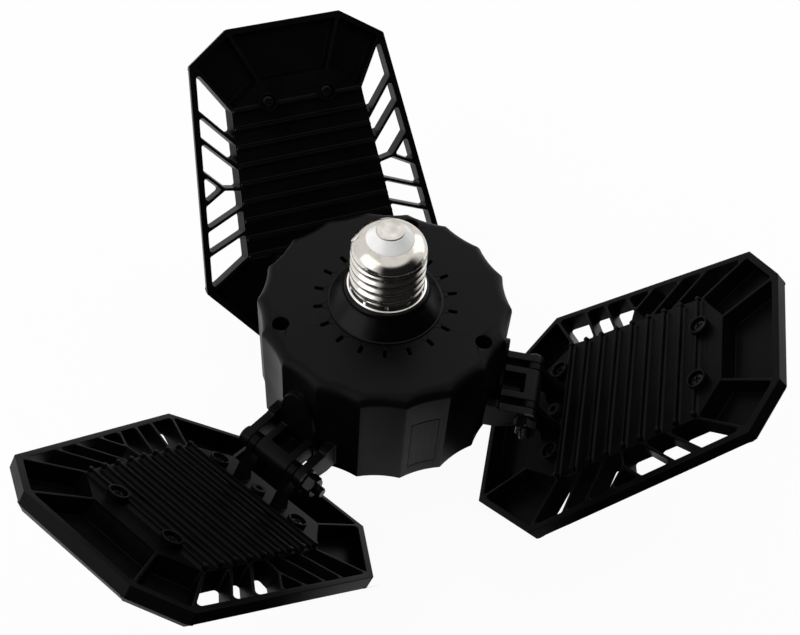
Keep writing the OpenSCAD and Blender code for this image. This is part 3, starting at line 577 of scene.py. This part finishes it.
def build_holder():
    """Glossy moulded ring with a rounded top edge and a thin bead at its foot."""
    slope = [(mix(19.85, 15.25, t / 6), mix(-8.3, -2.15, t / 6)) for t in range(7)]
    profile = [(18.0, -9.3), (20.2, -9.0), *arc((20.2, -8.72), 0.28, -60, 100, 6),
               (20.0, -8.42), *slope, *arc((13.3, -1.85), 1.85, 8, 88, 8),
               (12.6, -0.01), (11.6, -0.01), (11.6, -9.3)]
    shape = skin([ring(radius, z, 128) for radius, z in profile], True)
    build("cap_holder_turned", [(*shape, HERE)], "holder_black", "cap_holder", 40)


# ---------------------------------------------------------------- screws and bolts
def bar(along, across, arm, reach):
    """1 within one bar of a pressed cross, 0 outside it."""
    return (1 - smooth(abs(across), arm * 0.6, arm)) * (1 - smooth(abs(along), reach * 0.8, reach))


def cross_head(radius, height, dome, arm, reach, depth):
    """Round screw head with a pressed cross: rings whose middle is sunk along two bars."""
    steps, rings = 64, 20
    rows = []
    for k in range(rings):
        r = radius * (1 - k / (rings - 0.5))
        edge = math.sqrt(max(1 - (r / radius) ** 4, 0))
        rows.append([(x, y, height - dome + dome * edge
                      - depth * max(bar(x, y, arm, reach), bar(y, x, arm, reach)))
                     for x, y, _ in ring(r, 0, steps)])
    return skin([[(x, y, 0) for x, y, _ in rows[0]], *rows])


FIRST_FIN, FIN_PITCH, FIN_COUNT, PAD_INSET = 4.34, 7.28, 9, 1.25
PLATE_EDGE = ((-12.5, 21.2), (3.9, 31.9), (63.6, 27.0), (72.5, 14.3))
FIN_PAD = [(1.0, -16.2), (0.92, -13.95), (0.86, -13.8), (0.72, -13.72), (0.4, -13.68),
           (0.1, -13.67)]
LENS_SCREWS = ((63.9, 12.1), (63.9, -12.1), (0.4, 19), (0.4, -19))
LENS_SCREW_SEAT, LENS_SHANK = -15.2, [(1.45, -25.0), (1.5, -24.7), (1.5, -15.1)]
TOWER_REACH, TOWER_TURNS = 38.2884, (56.8, 179.3, 313.1)
TOWER_SEAT, TOWER_SHANK = -39, [(1.45, -52.3), (1.5, -52.1), (1.5, -38.9)]


def half_width(u):
    """Half the back plate's width at a place along it."""
    for (u0, v0), (u1, v1) in zip(PLATE_EDGE, PLATE_EDGE[1:]):
        if u <= u1:
            return mix(v0, v1, (u - u0) / (u1 - u0))
    return PLATE_EDGE[-1][1]


def build_fin_ends(side):
    """Round pads of the casting's ejector pins at both ends of every fin."""
    shapes = []
    for u in [FIRST_FIN + FIN_PITCH * k for k in range(FIN_COUNT)]:
        for v in (half_width(u) - PAD_INSET, PAD_INSET - half_width(u)):
            shapes.append((*turned(FIN_PAD, 24), panel_place(side) @ shifted(u, v, 0)))
    build("fin_ends_" + side, shapes, "panel_black", "heatsink_" + side, 40, False)


def build_lens_screws(side):
    """The screws of one panel, each left at a turn of its own."""
    shapes = []
    for n, (u, v) in enumerate(LENS_SCREWS):
        place = panel_place(side) @ shifted(u, v, 0)
        seat = shifted(0, 0, LENS_SCREW_SEAT) @ Matrix.Rotation(0.5 + 1.1 * n, 4, "Z")
        shapes.append((*cross_head(2.68, 1.3, 0.45, 0.42, 1.55, 0.75), place @ seat))
        shapes.append((*turned(LENS_SHANK, 24), place))
    node = "lens_screws_" + side
    build(node + "_crossed", shapes, "hardware_black", node, 40)


def build_housing_screws():
    shapes = []
    for angle in TOWER_TURNS:
        place = around(angle) @ shifted(TOWER_REACH, 0, 0)
        head = cross_head(2.78, 2.0, 0.6, 0.5, 1.7, 1.0)
        shapes.append((*head, place @ shifted(0, 0, TOWER_SEAT)))
        shapes.append((*turned(TOWER_SHANK, 24), place))
    build("housing_screws_crossed", shapes, "plain_steel", "housing_screws", 40)


BOLT_R, SHANK_FOOT, SHANK_END, BOLT_END, BOLT_PITCH = 2.0, -14.3, 15.0, 22.2, 0.7
BOLT_HEAD = [(2.0, -14.2), (3.35, -14.2), (3.5, -14.35), (3.5, -14.7), (3.3, -15.0),
             (2.8, -15.26), (1.9, -15.42), (0.9, -15.49), (0.2, -15.5)]
NUT_WIDTH, NUT_LOW, NUT_HIGH, NUT_BORE = 7, 15.2, 19.2, 2.06


def bolt_places():
    """The hinge axes, z from head to nut; the right panel's bolt goes in from the other side."""
    for side, turn in PANEL_TURN.items():
        place = hinge_place(turn) @ around(-90, "X")
        yield place @ around(180, "X") if side == "right" else place


def threaded(radius, pitch, low, high):
    """Ridged end of a bolt with a chamfer at its tip."""
    steps, chamfer, slope = 40, 0.6, 0.8
    rows = []
    count = int((high - low) / (pitch / 8))
    for k in range(count + 1):
        z = mix(low, high, k / count)
        tip = radius - slope * max(0, z - high + chamfer)
        row = []
        for a in [math.tau * i / steps for i in range(steps)]:
            wave = abs(((z / pitch - a / math.tau) % 1) * 2 - 1)
            r = min(radius - pitch * 0.5 * wave, tip)
            row.append((r * math.cos(a), r * math.sin(a), z))
        rows.append(row)
    return skin(rows)


def build_bolts():
    shapes = []
    for place in bolt_places():
        points, faces = turned(BOLT_HEAD, 48)
        shapes.append((points, [face[::-1] for face in faces], place))
        shapes.append((*turned([(BOLT_R, SHANK_FOOT), (BOLT_R, SHANK_END)], 40), place))
        shapes.append((*threaded(BOLT_R, BOLT_PITCH, SHANK_END, BOLT_END), place))
    build("hinge_bolts_threaded", shapes, "hardware_black", "hinge_bolts", 35)


def hex_nut(width, low, high, bore):
    """Six flats whose corners are turned off to a cone at both faces."""
    steps, face_share = 60, 0.985
    half, corner = width / 2, width / 2 / math.cos(math.pi / 6)
    rows = []
    for share, cone in ((0, 0.0), (0.12, 1.0), (0.88, 1.0), (1, 0.0)):
        row = []
        for a in [math.tau * i / steps for i in range(steps)]:
            off = (a + math.pi / 6) % (math.pi / 3) - math.pi / 6
            r = min(half / math.cos(off), mix(half * face_share, corner, cone))
            row.append((r * math.cos(a), r * math.sin(a), mix(low, high, share)))
        rows.append(row)
    return skin([*rows, ring(bore, high, steps), ring(bore, low, steps)], True)


def build_nuts():
    shapes = [(*hex_nut(NUT_WIDTH, NUT_LOW, NUT_HIGH, NUT_BORE), place)
              for place in bolt_places()]
    build("hinge_nuts_chamfered", shapes, "hardware_black", "hinge_nuts", 25)


build_cap()
build_cap_top()
build_solder()
build_holder()
build_bolts()
build_nuts()
build_housing_screws()
for side in PANEL_TILT:
    build_lens_screws(side)
    build_fin_ends(side)

EASED = {
    "hub_housing": 0.35, "side_plug": 0.2, "hub_base": 0.3,
    "heatsink_back": 0.22, "heatsink_left": 0.22, "heatsink_right": 0.22,
    "lens_back": 0.4, "lens_left": 0.4, "lens_right": 0.4,
    "hinge_washers": 0.15,
}
for node, radius in EASED.items():
    eased(node + "_eased", node, radius)
for node, piece in frame["nodes"].items():
    if node not in replaced:
        piece.data.materials.clear()
        piece.data.materials.append(FINISHES[SLOT_OF[node]])


# ---------------------------------------------------------------- stage
# Lengths are in metres here.
FLOOR_DROP, FLOOR_HALF, FLOOR_GLOW = 0.002, 3, 0.94
# The sheet that paints a dark reflection round the front of the metal.
DARK_SHEET_START, DARK_SHEET_END, DARK_SHEET_FADE, DARK_SHEET_STEPS = 208, 354, 30, 24
DARK_SHEET_INNER, DARK_SHEET_OUTER, DARK_SHEET_TOP, DARK_SHEET_FADE_SHARE, DARK_SHEET_DROP = 0.1, 0.62, 0.85, 0.55, 0.001
LAMP_AIM = Vector((0, 0, -0.03))
LAMPS = {  # place, width, height and power
    "back_box": ((0.3, 0.68, 0.85), 1.0, 0.8, 1.8),
    "left_box": ((-0.95, -0.12, 0.55), 0.9, 1.2, 3.6),
    "right_box": ((0.95, 0.35, 0.4), 0.7, 1.0, 1.8),
}


def shown_white(f):
    """1 where the camera sees the studio, straight or in a metal or through a clear part."""
    outs = f.node("ShaderNodeLightPath").socket.node.outputs
    rays = [Flow(f, outs[name])
            for name in ("Is Camera Ray", "Is Glossy Ray", "Is Transmission Ray")]
    return sum(rays) > 0.5


def studio_sheet(name, points, faces, f, in_metal_only=False):
    """Puts a sheet in the scene that belongs to the studio and not to the light."""
    mesh = bpy.data.meshes.new(name)
    mesh.from_pydata(points, [], faces)
    mesh.materials.append(f.material)
    sheet = bpy.data.objects.new(name, mesh)
    if in_metal_only:
        sheet.visible_camera = sheet.visible_diffuse = sheet.visible_shadow = False
    scene.collection.objects.link(sheet)


def lit_floor():
    """Pale floor that shows as the white ground of the picture and keeps a soft shadow."""
    f = Finish("floor")
    seen = shown_white(f)
    plain = f.node("ShaderNodeBsdfDiffuse", None, {"Color": (0.85, 0.85, 0.85, 1)})
    glow = f.node("ShaderNodeEmission", None, {"Color": (1, 1, 1, 1), "Strength": 1.0})
    f.end(f.node("ShaderNodeMixShader", None, {0: seen * FLOOR_GLOW, 1: plain, 2: glow}))
    level = cad_box[0].z - FLOOR_DROP
    corners = [(x * FLOOR_HALF, y * FLOOR_HALF, level)
               for x, y in ((-1, -1), (1, -1), (1, 1), (-1, 1))]
    studio_sheet("floor", corners, [(0, 1, 2, 3)], f)


def soft_box(name, place, width, height, power):
    lamp = bpy.data.lights.new(name, "AREA")
    lamp.shape, lamp.size, lamp.size_y, lamp.energy = "RECTANGLE", width, height, power
    holder = bpy.data.objects.new(name, lamp)
    place = Vector(place)
    turn = (LAMP_AIM - place).to_track_quat("-Z", "Y").to_matrix()
    holder.matrix_world = Matrix.Translation(place) @ turn.to_4x4()
    scene.collection.objects.link(holder)


def painted_dark_reflection():
    """Painted dark reflection: a black sheet laid out and hung round the front, out of the picture,
    that only reflections see; it darkens that side of the metal but throws no shadow. Its ends and
    its top are thin, so its reflection has no hard edge."""
    f = Finish("front_dark_reflection")
    x, y, z = f.parts()
    turn = y.arctan(x)
    first, last = math.radians(DARK_SHEET_START - 360), math.radians(DARK_SHEET_END - 360)
    soft = math.radians(DARK_SHEET_FADE)
    # painted dark reflection: 1 where the sheet shows dark in the metal, fading out at its ends and
    # top
    dark_reflection_mask = turn.within(first, first + soft) * (1 - turn.within(last - soft, last)) * \
        (1 - z.within(DARK_SHEET_TOP * DARK_SHEET_FADE_SHARE, DARK_SHEET_TOP))
    clear = f.node("ShaderNodeBsdfTransparent")
    dark = f.node("ShaderNodeBsdfDiffuse", None, {"Color": (0.01, 0.01, 0.01, 1)})
    f.end(f.node("ShaderNodeMixShader", None, {0: dark_reflection_mask, 1: clear, 2: dark}))
    low = cad_box[0].z - DARK_SHEET_DROP
    turns = [math.radians(mix(DARK_SHEET_START, DARK_SHEET_END, k / DARK_SHEET_STEPS))
             for k in range(DARK_SHEET_STEPS + 1)]
    points = [(reach * math.cos(turn), reach * math.sin(turn), level)
              for reach, level in ((DARK_SHEET_INNER, low), (DARK_SHEET_OUTER, low), (DARK_SHEET_OUTER, DARK_SHEET_TOP))
              for turn in turns]
    row = DARK_SHEET_STEPS + 1
    faces = [(k, k + 1, k + row + 1, k + row) for start in (0, row)
             for k in range(start, start + DARK_SHEET_STEPS)]
    studio_sheet("front_dark_reflection", points, faces, f, True)


def studio_world():
    """White to the camera and in the metal; its light on the object is a dim room, lighter at
    the back and the left."""
    f = Finish("studio", bpy.data.worlds.new("studio"), "Generated")
    seen = shown_white(f)
    x, y, z = f.parts()
    side = (y * 0.75 - x * 0.6 + z * 0.25).within(-0.35, 0.95)
    room = 0.4 + side * 0.7
    strength = seen + (1 - seen) * room
    light = f.node("ShaderNodeBackground", None, {"Color": (1, 1, 1, 1), "Strength": strength})
    scene.world = f.end(light, "ShaderNodeOutputWorld")


lit_floor()
studio_world()
painted_dark_reflection()
for name, lamp in LAMPS.items():
    soft_box(name, *lamp)
scene.view_settings.view_transform = "Standard"
